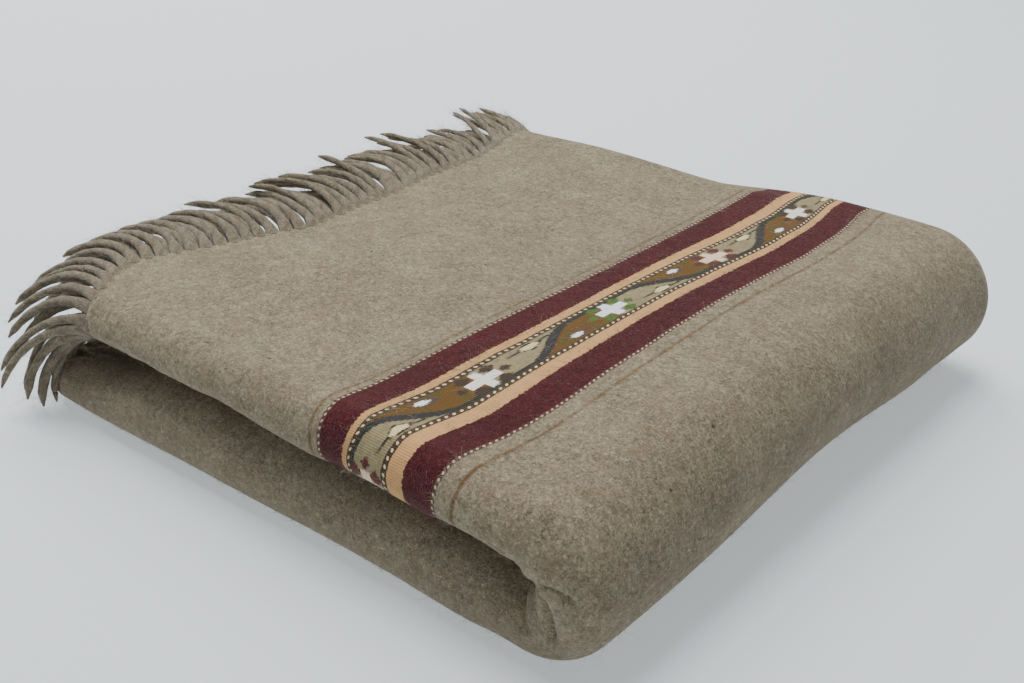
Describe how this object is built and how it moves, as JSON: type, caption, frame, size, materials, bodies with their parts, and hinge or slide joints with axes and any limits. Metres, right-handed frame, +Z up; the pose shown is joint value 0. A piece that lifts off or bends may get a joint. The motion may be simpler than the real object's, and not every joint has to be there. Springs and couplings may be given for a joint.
{
  "type": "folded wool shawl",
  "caption": "Long heather-grey wool shawl with a woven pattern band and twisted fringe, folded lengthwise and crosswise into a thick rectangular pad.",
  "frame": {"origin": "middle of the footprint, on the surface that the folded shawl lies on", "axes": "+Z up; +X from the fringed side towards the big fold; +Y from the rounded lengthwise fold towards the open far edges"},
  "size_m": [0.4094, 0.4014, 0.0807],
  "materials": {
    "wool_cloth": "fulled heather wool with a woven pattern band",
    "fringe_wool": "twisted heather wool yarn"
  },
  "bodies": {
    "root": {"shawl_cloth": "wool_cloth", "fringe_first_end": "fringe_wool", "fringe_second_end": "fringe_wool"}
  },
  "joints": []
}
